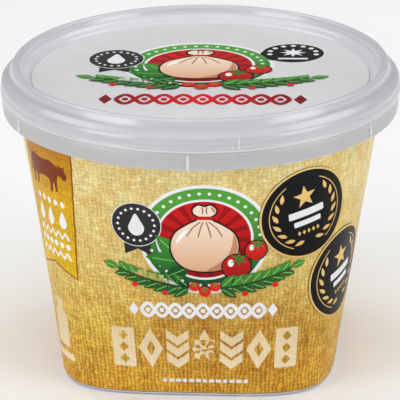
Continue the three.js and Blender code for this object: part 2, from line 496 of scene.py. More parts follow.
class Recipe:
    """Builds a material's nodes by short calls."""

    def __init__(self, name):
        self.material = bpy.data.materials.new(name)
        self.material.use_nodes = True
        self.tree = self.material.node_tree
        self.shader = self.tree.nodes["Principled BSDF"]

    def node(self, kind, inputs=(), output=0, **settings):
        made = self.tree.nodes.new(kind)
        for key, value in settings.items():
            setattr(made, key, value)
        for socket, value in dict(inputs).items():
            self.feed(made.inputs[socket], value)
        return made.outputs[output]

    def feed(self, socket, value):
        if isinstance(value, bpy.types.NodeSocket):
            self.tree.links.new(value, socket)
        elif socket.type == "RGBA" and len(value) == 3:
            socket.default_value = (*value, 1.0)
        else:
            socket.default_value = value

    def set(self, **sockets):
        for key, value in sockets.items():
            self.feed(self.shader.inputs[key.replace("_", " ")], value)

    def math(self, operation, a, b=0.0, clamp=False):
        return self.node("ShaderNodeMath", {0: a, 1: b}, operation=operation, use_clamp=clamp)

    def plus(self, a, b):
        return self.math("ADD", a, b)

    def minus(self, a, b):
        return self.math("SUBTRACT", a, b)

    def times(self, a, b):
        return self.math("MULTIPLY", a, b)

    def mix(self, factor, a, b, blend="MIX"):
        return self.node("ShaderNodeMix", {0: factor, 6: a, 7: b}, 2, data_type="RGBA", blend_type=blend)

    def dyed(self, colour, dye):
        """A colour multiplied by another, or by a number."""
        if isinstance(dye, bpy.types.NodeSocket) and dye.type == "VALUE":
            dye = self.node("ShaderNodeCombineColor", {0: dye, 1: dye, 2: dye})
        return self.mix(1.0, colour, dye, "MULTIPLY")

    def noise(self, vector, scale, detail=2.0, roughness=0.5):
        return self.node("ShaderNodeTexNoise", {"Vector": vector, "Scale": scale, "Detail": detail,
                                                "Roughness": roughness})

    def ramp(self, value, stops):
        out = self.node("ShaderNodeValToRGB", {0: value})
        points = out.node.color_ramp.elements
        while len(points) < len(stops):
            points.new(0.5)
        for point, (place, colour) in zip(points, stops):
            point.position = place
            point.color = (*colour, 1.0)
        return out

    def spread(self, value, low, high, start=0.0, end=1.0, ease="LINEAR"):
        """Maps the stretch from start to end on to low to high."""
        return self.node("ShaderNodeMapRange", {"Value": value, "From Min": start, "From Max": end,
                                                "To Min": low, "To Max": high}, interpolation_type=ease)

    def mapped(self, vector, move=(0, 0, 0), turn=(0, 0, 0), scale=(1, 1, 1)):
        return self.node("ShaderNodeMapping", {0: vector, 1: move, 2: turn, 3: scale})

    def part(self, vector, axis):
        return self.node("ShaderNodeSeparateXYZ", {0: vector}, axis)

    def length(self, vector):
        return self.node("ShaderNodeVectorMath", {0: vector}, 1, operation="LENGTH")

    def flat(self):
        """Places on flat work, in millimetres."""
        return self.mapped(self.node("ShaderNodeUVMap", uv_map="flat"), scale=(1000, 1000, 1000))

    def solid(self):
        """Places in the object, in millimetres."""
        return self.mapped(self.node("ShaderNodeTexCoord", output=3), scale=(1000, 1000, 1000))

    def bump(self, height, distance, strength):
        self.feed(self.shader.inputs["Normal"],
                  self.node("ShaderNodeBump", {"Strength": strength, "Distance": distance, "Height": height}))


# Sackcloth: millimetres from thread to thread, how far threads wander, and what each part does to brightness.
WARP_PITCH = 1.12
WEFT_PITCH = 0.95
WARP_WANDER = 2.2
WEFT_WANDER = 2.0
MEAN_CROWN = 0.64
GAP_WEIGHT = 0.28
THREAD_WEIGHTS = {"weft_crown": 0.1, "slubs": 0.7, "picks": 0.36, "crossing": 0.3, "nubs": 1.7,
                  "patches": 0.8}


def sackcloth(recipe, place):
    """Printed sackcloth at places in millimetres: brightness of its threads, 0 to 1, and the height."""
    def off_centre(value, weight):
        return recipe.times(recipe.minus(value, 0.5), weight)

    def at(x, y, z=0.0):
        return recipe.node("ShaderNodeCombineXYZ", {0: x, 1: y, 2: z})

    def crown(threads):
        return recipe.math("SINE", recipe.times(recipe.math("FRACT", threads), math.pi))

    across, height = recipe.part(place, 0), recipe.part(place, 1)
    u = recipe.plus(across, off_centre(recipe.noise(place, 0.3, 3.0), WARP_WANDER))
    v = recipe.plus(height, off_centre(recipe.noise(at(height, across, 5.0), 0.36, 3.0), WEFT_WANDER))
    warp, weft = recipe.math("DIVIDE", u, WARP_PITCH), recipe.math("DIVIDE", v, WEFT_PITCH)
    warp_number, weft_number = recipe.math("FLOOR", warp), recipe.math("FLOOR", weft)
    warp_crown, weft_crown = crown(warp), crown(weft)
    parts = {
        "weft_crown": weft_crown,
        "slubs": recipe.noise(at(warp_number, recipe.times(v, 0.16)), 1.0),
        "picks": recipe.noise(at(recipe.times(u, 0.3), weft_number, 7.0), 1.0),
        "crossing": recipe.node("ShaderNodeTexWhiteNoise", {0: at(warp_number, weft_number)},
                                noise_dimensions="3D"),
        "nubs": recipe.noise(place, 2.0, 4.0, 0.75),
        "patches": recipe.noise(place, 0.1, 3.0, 0.6),
    }
    gap = recipe.times(recipe.minus(1.0, warp_crown), recipe.minus(1.0, weft_crown))
    upright = recipe.spread(height, 0.1, 0.36, 52.0, 2.0)  # warp threads show more towards the foot
    total = recipe.plus(0.5, recipe.times(recipe.minus(warp_crown, MEAN_CROWN), upright))
    total = recipe.minus(total, recipe.times(gap, GAP_WEIGHT))
    for name, weight in THREAD_WEIGHTS.items():
        total = recipe.plus(total, off_centre(parts[name], weight))
    return recipe.math("ADD", total, 0.0, clamp=True), height


def film(recipe, place, gloss):
    """A printed film's satin face: uneven gloss and a very slight waviness."""
    recipe.set(Roughness=recipe.spread(recipe.noise(place, 0.9, 3.0), gloss - 0.06, gloss + 0.08))
    recipe.bump(recipe.noise(place, 0.35), 0.05 * MM, 0.25)


def soft_patch(recipe, place, middle, reach, core):
    """Share of a soft oval patch: 1 inside its core, 0 beyond its reach, in the flat work's millimetres."""
    (x, y), (wide, high) = middle, reach  # the mapping puts the middle at 0 and the reach at 1
    away = recipe.mapped(place, (-x / wide, -y / high, 0), scale=(1 / wide, 1 / high, 0))
    return recipe.spread(recipe.length(away), 0.0, 1.0, 1.0, core, "SMOOTHSTEP")


# The wrap's sackcloth at shares of its print's height: its colour between the threads and on them.
PRINT_TOP = 66.0
SACKCLOTH_TONES = [(0.0, (148, 84, 18), (246, 198, 70)), (0.3, (160, 108, 24), (247, 221, 108)),
                   (0.6, (188, 155, 72), (250, 235, 164)), (1.0, (199, 172, 101), (251, 246, 195))]
# Darker patches round the emblem and round the name: middle, reach, core and dye.
SHADED_PATCHES = [((2.0, 40.0), (27.0, 21.5), 0.55, (0.88, 0.86, 0.82)),
                  ((12.0, 18.0), (38.0, 17.0), 0.35, (0.8, 0.69, 0.66))]


def wrap_film(gloss):
    """The wrap label's sackcloth print, pale straw at the top and amber at the bottom."""
    recipe = Recipe("wrap_film")
    place = recipe.flat()
    threads, v = sackcloth(recipe, place)
    height = recipe.math("DIVIDE", v, PRINT_TOP, clamp=True)
    dark = recipe.ramp(height, [(share, tone(*gap)) for share, gap, _ in SACKCLOTH_TONES])
    pale = recipe.ramp(height, [(share, tone(*thread)) for share, _, thread in SACKCLOTH_TONES])
    ochre = recipe.noise(recipe.mapped(place, (11, 70, 0)), 0.16, 4.0, 0.65)
    tint = recipe.ramp(ochre, [(0.36, (0.98, 1.0, 0.98)), (0.64, (1.0, 0.86, 0.66))])
    cloth = recipe.dyed(recipe.mix(threads, dark, pale), tint)
    for middle, reach, core, dye in SHADED_PATCHES:
        cloth = recipe.mix(soft_patch(recipe, place, middle, reach, core), cloth, dye, "MULTIPLY")
    recipe.set(Base_Color=cloth, Specular_IOR_Level=0.12)
    film(recipe, place, gloss)
    return recipe.material


def ink_film(name, high, low, span, axis=1, weave=0.0, gloss=0.36, metal=0.0, middle=None):
    """Printed ink, a little uneven: it goes from its low to its high colour over a span of the flat work."""
    recipe = Recipe(name)
    place = recipe.flat()
    share = recipe.spread(recipe.part(place, axis), 0.0, 1.0, *span)
    shade = recipe.ramp(share, [(0.0, low), *([(0.5, tone(*middle))] if middle else []), (1.0, high)])
    mottle = recipe.spread(recipe.noise(place, 1.8, 3.0, 0.6), 0.93, 1.05)
    if weave:
        threads, _ = sackcloth(recipe, place)
        mottle = recipe.times(mottle, recipe.spread(threads, 1.0 - weave, 1.0 + weave * 0.6))
    recipe.set(Base_Color=recipe.dyed(shade, mottle), Metallic=metal, Specular_IOR_Level=0.12)
    film(recipe, place, gloss)
    return recipe.material


def milky_plastic(name, colour, depth=2.0, rough=0.3, coat=0.0, coat_rough=0.17, specular=0.9, glows=(),
                  hollow=None):
    """Milky moulded polypropylene: cloudy, satin, with faint flow lines and fine scuffs.

    Light goes in to a depth in millimetres. Each glow is painted light: a height, a half width and a gain by
    which the base colour is lightened where a thin edge would gather light. A hollow is painted light too: a
    radius and a gain by which the base colour is lightened inside it, where light would gather between the
    walls.
    """
    recipe = Recipe(name)
    place = recipe.solid()
    cloud = recipe.noise(place, 0.06)
    flow = recipe.noise(recipe.mapped(place, scale=(0.25, 0.25, 2.4)), 0.5, 3.0)
    shade = recipe.ramp(recipe.plus(recipe.times(cloud, 0.6), recipe.times(flow, 0.4)),
                        [(0.3, [c * 0.95 for c in colour]), (0.7, [min(1.0, c * 1.04) for c in colour])])
    # Painted light: the gain lightens the base colour at each glow's height and inside the hollow.
    height, gain = recipe.part(place, 2), 1.0
    for level, half_width, strength in glows:
        away = recipe.math("ABSOLUTE", recipe.minus(height, level))
        gain = recipe.plus(gain, recipe.spread(away, strength, 0.0, 0.0, half_width, "SMOOTHSTEP"))
    if hollow:
        radius, strength = hollow
        out = recipe.length(recipe.mapped(place, scale=(1, 1, 0)))
        gain = recipe.plus(gain, recipe.spread(out, 0.0, strength, radius + 0.4, radius - 0.6))
    if glows or hollow:
        shade = recipe.dyed(shade, gain)
    scuffs = recipe.noise(recipe.mapped(place, turn=(0.3, 0.2, 0.5), scale=(0.3, 1.6, 0.9)), 0.5)
    recipe.set(Base_Color=shade, Roughness=recipe.spread(scuffs, rough - 0.05, rough + 0.05), IOR=1.49,
               Subsurface_Weight=0.5, Subsurface_Radius=(1.0, 1.0, 1.1), Subsurface_Scale=depth * MM,
               Specular_IOR_Level=specular, Coat_Weight=coat, Coat_Roughness=coat_rough, Coat_IOR=3.0)
    recipe.bump(recipe.noise(place, 0.28), 0.12 * MM, 0.3)
    return recipe.material


def lid_white_film():
    """White printed film, satin, with a slight mould texture."""
    recipe = Recipe("lid_white_film")
    place = recipe.solid()
    cloud = recipe.noise(place, 0.12, 3.0)
    recipe.set(Base_Color=recipe.ramp(cloud, [(0.3, tone(211, 210, 212)), (0.7, tone(216, 215, 217))]),
               Roughness=recipe.spread(recipe.noise(place, 0.8, 3.0), 0.34, 0.48),
               Subsurface_Weight=0.1, Subsurface_Radius=(1.0, 1.0, 1.0), Subsurface_Scale=0.4 * MM)
    recipe.bump(recipe.noise(place, 0.16), 0.08 * MM, 0.25)
    return recipe.material


# ---- Settings ----

# The lid's size, from the frame. Its facets end a few microns short of the round, so it is rounded to 0.1 mm.
LID_RADIUS, LID_TOP = (round(size / MM, 1) * MM for size in (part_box("lid")[1].x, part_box("lid")[1].z))
LENGTH = {"unit": "LENGTH", "subtype": "DISTANCE"}
COLOUR = {"min": 0, "max": 1, "size": 3, "subtype": "COLOR"}


class CheeseTubShape(bpy.types.PropertyGroup):
    """Sizes of the moulded parts."""

    lid_radius: bpy.props.FloatProperty(
        name="Lid radius", description="Outer radius of the lid's rim",
        default=LID_RADIUS, min=0.04, max=0.06, **LENGTH)
    lid_top: bpy.props.FloatProperty(
        name="Lid height", description="Height of the stacking bead's crest; the whole lid moves with it",
        default=LID_TOP, min=0.07, max=0.085, **LENGTH)
    sides: bpy.props.IntProperty(
        name="Sides", description="Number of flat sides of the turned parts", default=256, min=64, max=512)


class CheeseTubPrint(bpy.types.PropertyGroup):
    """Colours and gloss of the lid and the print."""

    plastic: bpy.props.FloatVectorProperty(
        name="Plastic", description="Colour of the milky lid", default=tone(192, 191, 195), **COLOUR)
    film_gloss: bpy.props.FloatProperty(
        name="Film roughness", description="Roughness of the wrap label's film",
        default=0.36, min=0.1, max=0.9, subtype="FACTOR")
    green: bpy.props.FloatVectorProperty(
        name="Green", description="Leaf green of the emblem's ring", default=tone(84, 160, 60), **COLOUR)
    red: bpy.props.FloatVectorProperty(
        name="Red", description="Tomato red of the emblem's field", default=tone(206, 24, 22), **COLOUR)
    cream: bpy.props.FloatVectorProperty(
        name="Cream", description="Cream of the frieze and the churn", default=tone(240, 222, 186), **COLOUR)
    gold: bpy.props.FloatVectorProperty(
        name="Gold", description="Gold of the award stickers", default=tone(236, 200, 126), **COLOUR)


# ---- Moulded parts ----

class CHEESETUB_OT_tub(bpy.types.Operator):
    """Builds the milky tub: foot, wall with the label's recess, and the ribbed skirt"""

    bl_idname = "cheese_tub.tub"
    bl_label = "Tub"

    def execute(self, context):
        foot = [(FOOT_HALF_WIDTH - FOOT_RADIUS * (1 - sin), FOOT_RADIUS * (1 - cos))
                for cos, sin in map(cos_sin, (0, 18, 36, 54, 60))]
        wall = [(wall_half_width(height) - RECESS, height)
                for height in np.linspace(RECESS_BOTTOM, WALL_TOP_HEIGHT, WALL_RINGS)]
        skirt = [(radius * MM, height * MM) for radius, height in SKIRT]
        body = turned(foot + wall + skirt, context.scene.cheese_tub_shape.sides, TUB_CORE)
        square_up(body)
        # The glows are painted light: the base colour is lightened at the foot and at the skirt's top under
        # the lid's lip.
        plastic = milky_plastic("tub_milky", tone(178, 177, 180), rough=0.4, coat=0.4, coat_rough=0.36,
                                specular=0.1, glows=[(0.0, 2.4, 0.7), (69.5, 1.2, 0.18)])
        hand_over(smooth(body), "tub_body", plastic, "tub_plastic", "tub")
        # The ribs are the tub's plastic painted lighter, tone 222 against 178: a painted highlight along each
        # rib.
        hand_over(self.ribs(), "skirt_ribs", milky_plastic("rib_milky", tone(222, 222, 226)), "tub_plastic")
        return {"FINISHED"}

    @staticmethod
    def ribs():
        """Thin upright ribs on the skirt, at even turns."""
        ribs = []
        for i in range(RIB_COUNT):
            deselect()
            bpy.ops.mesh.primitive_cube_add(size=1, location=[x * MM for x in RIB_MIDDLE],
                                            scale=[x * MM for x in RIB_SIZE])
            rib = placed()
            with editing(rib):
                bpy.ops.mesh.bevel(offset=RIB_BEVEL * MM, segments=2, affect="EDGES")
            ribs.append(turned_from_front(rib, RIB_FIRST_TURN + 360 / RIB_COUNT * i))
        return smooth(join(ribs))


def turned_from_front(piece, degrees):
    """Turns a piece made on +X to a turn from the front."""
    piece.data.transform(Matrix.Rotation(math.radians(degrees - 90), 4, "Z"))
    return piece


def join(pieces):
    deselect()
    for piece in pieces:
        piece.select_set(True)
    bpy.context.view_layer.objects.active = pieces[0]
    bpy.ops.object.join()
    return bpy.context.object


def arc(inwards, down, bend, start, end, steps):
    """Points of a lid profile along an arc; 0 degrees is straight outwards, 90 straight up."""
    turns = [cos_sin(start + (end - start) * i / steps) for i in range(steps + 1)]
    return [(inwards - bend * cos, down - bend * sin) for cos, sin in turns]


def lid_profile(shape, points):
    """Lid points as (radius, height) in metres."""
    return [(shape.lid_radius - inwards * MM, shape.lid_top - down * MM) for inwards, down in points]


# Lid profiles are in millimetres, inwards from the rim and down from the bead's crest.
SHOULDER = (1.62, 4.7, 1.5, 0, 52)
LID_RIM = [(0.4, 7.58), (0.15, 7.52), (0, 7.34), (0, 6.8), (0.08, 6.6), (0.08, 6.15), (0, 6.0), (0.03, 5.84),
           (0.14, 5.76)]
LID_SHOULDER = arc(*SHOULDER, 8) + [(1.5, 2.95), (1.95, 2.7), (2.25, 2.38), (2.55, 1.8)]
LID_BEAD = arc(3.9, 1.05, 1.05, 8, 172, 14)
LID_SLOPE = [(5.15, 1.7), (5.38, 2.05), (5.7, 2.34), (6.14, 2.8), (6.38, 3.15), (6.7, 3.58), (7.05, 3.8),
             (7.4, 3.9), (7.6, 3.94), (7.64, 4.05), (7.64, 4.45)]
LID_OUTSIDE = LID_RIM + LID_SHOULDER + LID_BEAD + LID_SLOPE
PULL_MARK = [(0, 6.8), (0, 6.1), (0.12, 5.7)] + arc(*SHOULDER, 6)
PANEL_DOWN = 3.8
LID_FILM = [(7.7, 4.15), (7.7, 3.92), (7.74, 3.84), (7.82, PANEL_DOWN)]

# Degrees from the front, width and how far proud each pull mark stands.
PULL_MARKS = ((13.2, 0.2, 0.04), (15.1, 0.5, 0.09))


class CHEESETUB_OT_lid(bpy.types.Operator):
    """Builds the milky lid: stepped rim, shoulder, stacking bead, slope and pull marks"""

    bl_idname = "cheese_tub.lid"
    bl_label = "Lid"

    def execute(self, context):
        shape, colour = context.scene.cheese_tub_shape, tuple(context.scene.cheese_tub_print.plastic)
        shell = turned(lid_profile(shape, LID_OUTSIDE), shape.sides, LID_CORE)
        # The glows and the hollow are painted light: the base colour is lightened at the lip, the rim and the
        # bead's face, and on the slope inside 45 mm.
        plastic = milky_plastic("lid_milky", colour, 3.0, coat=0.28, specular=0.2, hollow=(45.0, 0.33),
                                glows=[(69.9, 0.4, 0.3), (70.6, 0.5, 0.1), (75.7, 0.9, 0.14)])
        hand_over(smooth(shell, 40), "lid_shell", plastic, "lid_plastic", "lid")
        marks = join([self.pull_mark(shape, *mark) for mark in PULL_MARKS])
        # The pull marks are the lid's plastic painted near white: a painted highlight along each ridge.
        painted_highlight = milky_plastic("pull_mark_milky", tone(250, 250, 252))
        hand_over(smooth(marks), "lid_pull_marks", painted_highlight, "lid_plastic")
        return {"FINISHED"}

    @staticmethod
    def pull_mark(shape, from_front, width, proud):
        """A fine upright ridge that runs up the rim and the shoulder."""
        path = np.array(lid_profile(shape, PULL_MARK))
        deselect()
        bpy.ops.mesh.primitive_grid_add(x_subdivisions=2, y_subdivisions=len(path) - 1, size=1)
        ridge = placed()
        points = coordinates(ridge.data)
        radius, height = path[np.rint((points[:, 1] + 0.5) * (len(path) - 1)).astype(int)].T
        crown = np.where(np.abs(points[:, 0]) < 0.25, proud, -0.1) * MM
        place_vertices(ridge.data, np.stack([radius + crown, points[:, 0] * width * MM, height], axis=-1))
        with editing(ridge):
            bpy.ops.mesh.normals_make_consistent(inside=False)
        return turned_from_front(ridge, from_front)


class CHEESETUB_OT_labels(bpy.types.Operator):
    """Builds the wrap label, its lap at the back, and the lid label"""

    bl_idname = "cheese_tub.labels"
    bl_label = "Labels"

    def execute(self, context):
        shape, printed = context.scene.cheese_tub_shape, wrap_film(context.scene.cheese_tub_print.film_gloss)
        middle, tall = (LABEL_BOTTOM + LABEL_TOP) / 2, LABEL_TOP - LABEL_BOTTOM
        deselect()
        bpy.ops.mesh.primitive_grid_add(x_subdivisions=LABEL_COLUMNS, y_subdivisions=LABEL_ROWS, size=1)
        bpy.ops.transform.resize(value=(2 * HALF_GIRTH, tall, 1))
        bpy.ops.transform.translate(value=(0, middle, 0))
        sleeve = placed()
        thicken(sleeve, LABEL_THICKNESS)
        lay(sleeve, fanned, 0.0)
        hand_over(sleeve, "wrap_label", printed, "wrap_print", "tub_label")

        lap = flat_shape([bar(HALF_GIRTH / MM, middle / MM, LAP_WIDTH, tall / MM - 2 * LAP_MARGIN)])
        cut_in_cells(lap, 1.0, 6.0)
        thicken(lap, LAP_THICKNESS)
        lay(lap, fanned, LAP_OUTSET)
        hand_over(lap, "wrap_label_lap", printed, "wrap_print")

        panel = turned(lid_profile(shape, LID_FILM), shape.sides, LID_CORE)
        hand_over(smooth(panel), "lid_film", lid_white_film(), "lid_print", "lid_label")
        return {"FINISHED"}


# ---- Inks ----

# Display colours at the high and the low end of a span of the flat work, in millimetres. A word is a setting.
INK_TONES = {
    "white": ((238, 238, 240), (226, 226, 230), (-12, 12)),
    "green": ("green", (14, 70, 40), (-13, 10)),
    "red": ("red", (150, 12, 14), (-10, 10)),
    "dark_red": ((164, 12, 16), (120, 8, 12), (-10, 10)),
    "leaf": ((66, 150, 52), (34, 104, 40), (-9, 3)),
    "leaf_dark": ((30, 96, 40), (24, 80, 36), (-9, 3)),
    "garland_light": ((76, 152, 56), (50, 120, 44), (-2, 10)),
    "garland_dark": ((40, 104, 40), (28, 84, 36), (-4, 8)),
    "stem": ((30, 74, 32), (26, 64, 30), (-2, 8)),
    "shine": ((250, 246, 240), (250, 246, 240), (0, 1)),
    "amber_edge": ((140, 72, 14), (160, 96, 20), (30, 62)),
    "vein": ((150, 200, 110), (120, 176, 90), (-8, 4)),
    "outline": ((44, 26, 22), (30, 18, 18), (-10, 10)),
    "ball": ((244, 226, 204), (222, 168, 130), (-9, 6)),
    "ball_shade": ((206, 150, 116), (186, 124, 92), (-9, 4)),
    "ball_line": ((150, 100, 78), (170, 120, 92), (0, 7)),
    "tomato": ((220, 40, 30), (150, 14, 16), (-11, 0)),
    "charcoal": ((52, 50, 52), (40, 39, 42), (-8, 8)),
    "cream": ((226, 202, 152), "cream", (6, 22), {"weave": 0.1}),
    "amber": ((192, 128, 16), (230, 186, 18), (38, 64), {"weave": 0.4, "middle": (222, 172, 22)}),
    "cow": ((124, 52, 4), (124, 52, 4), (0, 9), {"weave": 0.2}),
    "gold": ("gold", (222, 180, 104), (-12, 12), {"gloss": 0.34, "metal": 0.1}),
    "black": ((16, 15, 18), (10, 9, 11), (-12, 12), {"gloss": 0.34}),
    "name_red": ((122, 20, 28), (122, 20, 28), (-18, 18), {"axis": 0, "middle": (214, 24, 34)}),
}
INKS = {}


class CHEESETUB_OT_inks(bpy.types.Operator):
    """Mixes the inks of the artwork"""

    bl_idname = "cheese_tub.inks"
    bl_label = "Inks"

    def execute(self, context):
        def mixed(colour):
            named = isinstance(colour, str)
            return tuple(getattr(context.scene.cheese_tub_print, colour)) if named else tone(*colour)

        for name, (high, low, span, *options) in INK_TONES.items():
            settings = options[0] if options else {}
            INKS[name] = ink_film(f"{name}_ink", mixed(high), mixed(low), span, **settings)
        return {"FINISHED"}


def draw(prefix, art, where, slot, x=0.0, y=0.0, scale=1.0, tall=None, bent=True, own_map=True):
    """Lays a set of artwork, moved and scaled on the flat: each colour is its own thin skin.

    The colours' spans are measured from the set's own middle, or else on the whole label.
    """
    for name, colour, layer, loops in art:
        piece = flat_shape([shifted(loop, x, y, scale, tall=tall) for loop in loops])
        if bent:
            cut_in_cells(piece, CELL_ACROSS, CELL_UP)
        thicken(piece, INK_THICKNESS)
        lay(piece, where, INK_FIRST + INK_STEP * layer, *(((x, y), scale) if own_map else ()))
        hand_over(piece, f"{prefix}_{name}", INKS[colour], slot)


# ---- Artwork: sets of (name, ink, layer, outlines) ----

BALL = symmetric([(0, -8.9), (4.3, -8.2), (7.2, -5.6), (8.1, -1.8), (6.9, 1.9), (4, 4.3), (1.9, 5.5),
                  (1.5, 6.3), (2.6, 7.2), (2.7, 8.6), (1.4, 9.7), (0, 9.3)])
COW = [(0.2, 5.1), (0.1, 6), (0.9, 7.3), (0.7, 8.5), (1.5, 7.9), (2, 8), (3.1, 8.5), (2.9, 7.8), (4.2, 8.2),
       (6.2, 9), (8.5, 8.6), (11.5, 8.6), (13.8, 8.9), (15.6, 8.5), (16.3, 7.6), (16.8, 5.4), (17.1, 3.3),
       (16.7, 2.9), (16.3, 3.3), (16.2, 5.2), (15.7, 6.3), (15.6, 5), (15.9, 3.2), (15.6, 0.2), (14.7, 0.2),
       (14.6, 2.6), (13.9, 4), (13.2, 3), (13.3, 0.7), (12.5, 0.7), (12.1, 3.3), (11.4, 3.5), (9.3, 4),
       (7, 3.6), (6.6, 2.2), (6.7, 0.2), (5.8, 0.2), (5.6, 2.4), (5.2, 3.3), (4.7, 2), (4.6, 0.7), (3.8, 0.7),
       (3.9, 2.7), (3.7, 4.2), (3.2, 5.5), (2.3, 5.3), (1.4, 4.6), (0.6, 4.6)]
CHURN = symmetric([(3.2, 0), (3.4, 0.5), (3.4, 7.6), (3, 8.8), (1.7, 10.2), (1.5, 11.4), (2.2, 11.9),
                   (2.2, 12.7)])
DROP = symmetric([(0, 1.0), (0.4, 0.3), (0.63, -0.3), (0.43, -0.8), (0, -1.0)])
LARGE_DROP = symmetric([(0, 3.0), (1.2, 0.9), (1.9, -0.9), (1.3, -2.4), (0, -3.0)])


def emblem():
    """The round seal: a green ring round a red field with rays, a tied ball of cheese, basil and tomatoes."""
    ball = rounded(BALL)
    basil = [(-5.6, -6.2, 8.6, 4.4, 172), (-6.0, -4.9, 8.0, 4.2, 132), (-3.6, -7.6, 7.4, 3.8, 206)]
    tomatoes = [(7.6, -7.4, 3.5), (12.1, -3.0, 2.7)]
    folds = both([strip(path, 0.3) for path in (
        [(0.35, 5.0), (0.9, 3.3), (1.5, 0.7)], [(0.95, 5.0), (2.7, 3.4), (4.1, 1.0)],
        [(0.5, 9.0), (0.4, 8.1), (0.5, 7.2)])])
    ray = ((6.0, -3.22), (10.5, -4.6), (10.5, 4.6), (6.0, 3.22))  # reach and degrees off its middle
    rays = [[(reach * cos, reach * 0.97 * sin) for reach, (cos, sin) in
             ((reach, cos_sin(turn + off)) for reach, off in ray)] for turn in range(0, 360, 20)]
    shade = [rounded(loop) for loop in (
        [(0.6, -8.5), (4.2, -7.8), (6.9, -5.4), (7.7, -1.8), (6.7, 1.5), (6.3, -1.9), (4.6, -5.4)],
        [(2.3, 7.4), (2.3, 8.5), (1.4, 9.2), (1.6, 8.2)])]
    edges = [loop for x, y, r in tomatoes for loop in hoop(x, y, r + 0.15, r - 0.15, 40)]
    shine = [oval(x - r * 0.4, y + r * 0.3, r * 0.2, r * 0.3, sides=16) for x, y, r in tomatoes]
    stalks = [star(x + r * 0.15, y + r * 0.62, r * 0.66, r * 0.2, 6) for x, y, r in tomatoes]
    return [
        ("ground", "white", 0, [oval(0, 0, 15.4, 15.0, sides=96)]),
        ("ring", "green", 1, [oval(0, 0, 14.5, 14.1, sides=96), oval(0, 0, 11.4, 11.1, sides=96)]),
        ("field", "red", 1, [oval(0, 0, 10.8, 10.5, sides=80)]),
        ("beads", "white", 2, beads(12.95, 12.65, 0.42, range(5, 365, 10))),
        ("rays", "dark_red", 2, rays),
        ("basil_low", "leaf_dark", 3, [leaf(*basil[2])]),
        ("basil", "leaf", 4, [leaf(*basil[0])]),
        ("basil_top", "leaf", 5, [leaf(*basil[1])]),
        ("basil_ribs", "vein", 6, [midrib(x, y, length, heading) for x, y, length, _, heading in basil]),
        ("ball", "ball", 7, [ball]),
        ("ball_shade", "ball_shade", 8, shade),
        ("ball_shine", "shine", 8, [rounded([(-6.6, -1.0), (-5.7, 1.4), (-3.7, 3.1), (-4.9, 0.9)])]),
        ("ball_folds", "ball_line", 9, folds),
        ("ball_edge", "outline", 10, edging(ball, 0.4)),
        ("ball_tie", "red", 11, [bar(0, 6.05, 3.9, 0.95, 0.475)]),
        ("tomatoes", "tomato", 11, [oval(x, y, r, sides=40) for x, y, r in tomatoes]),
        ("tomato_edges", "outline", 12, edges),
        ("tomato_shine", "shine", 12, shine),
        ("tomato_stalks", "leaf", 13, stalks),
    ]


def garland():
    """Two basil branches that swing out from three small tomatoes."""
    def stem(x):
        return 0.011 * x * x

    light, dark, ribs, fruit = [], [], [], []
    for i in range(7):
        x = 4.0 + 2.45 * i
        slope = math.degrees(math.atan(0.022 * x))
        for leaves, side, length, width in ((light, 1, 5.0 - 0.26 * i, 2.3), (dark, -1, 4.7 - 0.2 * i, 2.1)):
            root, heading = (x, stem(x) + side * 0.12), slope + side * (40 - 1.5 * i)
            leaves.append(leaf(*root, length, width, heading))
            ribs.append(midrib(*root, length, heading, 0.2))
        if i in (2, 5):
            fruit.append(oval(x + 1.0, stem(x) - 2.3, 0.75, sides=16))
    tip = 21.2
    light.append(leaf(tip, stem(tip), 3.8, 2.0, 18))
    ribs.append(midrib(tip, stem(tip), 3.8, 18, 0.2))
    line = strip([(x, stem(x)) for x in np.linspace(1.5, tip, 16)], 0.42)
    middle = [(-2.55, 0.5, 1.45), (0.0, -0.9, 1.6), (2.55, 0.5, 1.45)]
    return [
        ("dark_leaves", "garland_dark", 14, both(dark)),
        ("light_leaves", "garland_light", 15, both(light)),
        ("ribs", "vein", 16, both(ribs)),
        ("stems", "stem", 17, both([line])),
        ("berries", "tomato", 17, both(fruit)),
        ("tomatoes", "tomato", 18, [oval(x, y, r - 0.15, sides=28) for x, y, r in middle]),
        ("tomato_stars", "leaf", 19, [star(x, y + r * 0.4, r * 0.6, r * 0.2) for x, y, r in middle]),
    ]


def braid(colour):
    """A braid of two waves with a dot in each eye and a lozenge at each end."""
    half_length, eye = 15.75, 3.5

    def wave(sign):
        places = np.linspace(-half_length, half_length, 91)
        return strip([(x, sign * 1.75 * math.cos(math.pi * x / eye)) for x in places], 0.95)

    dots = [oval(x, 0, 0.62, sides=14) for x in np.arange(-4 * eye, 4 * eye + 0.1, eye)]
    ends = both([lozenge(17.6, 0, 2.5, 3.8)])
    return [("wave", colour, 0, [wave(1)]), ("counter_wave", colour, 1, [wave(-1)]),
            ("dots", colour, 0, dots + ends)]


def frieze():
    """Seven bold motifs in a row."""
    def tile(x):
        return [bar(x, 0, 5.9, 11.0, 0.5)] + [lozenge(x, y, 2.5, 2.7) for y in (3.3, 0, -3.3)]

    def diamond(x):
        return [lozenge(x, 0, 6.5, 11.2), lozenge(x, 0, 2.3, 4.4)]

    def chevrons(x):
        chevron = [(-3.0, 1.5), (0, -0.7), (3.0, 1.5), (3.0, -0.9), (0, -3.1), (-3.0, -0.9)]
        return [shifted(chevron, x, y) for y in (4.0, 0.75, -2.5)]

    def flower(x):
        petals = {90: 4.9, -90: 4.9, 0: 2.7, 180: 2.7, 45: 3.1, 135: 3.1, -45: 3.1, -135: 3.1}
        return [shifted(leaf(0.7, 0, length, 2.6, 0), x, 0, turn=turn) for turn, length in petals.items()]

    pitch, loops = 7.15, []
    for i, motif in enumerate((tile, diamond, chevrons, flower, chevrons, diamond, tile)):
        loops += motif(pitch * (i - 3))
    return [("frieze", "cream", 0, loops)]


def dotted_line():
    """A row of small bars with a dot at every third place."""
    return [("dots", "white", 0, [bar(x, 0, 1.5, 0.9) if i % 3 else oval(x, 0, 0.6, sides=14)
                                  for i, x in enumerate(np.linspace(-11.2, 11.2, 13))])]


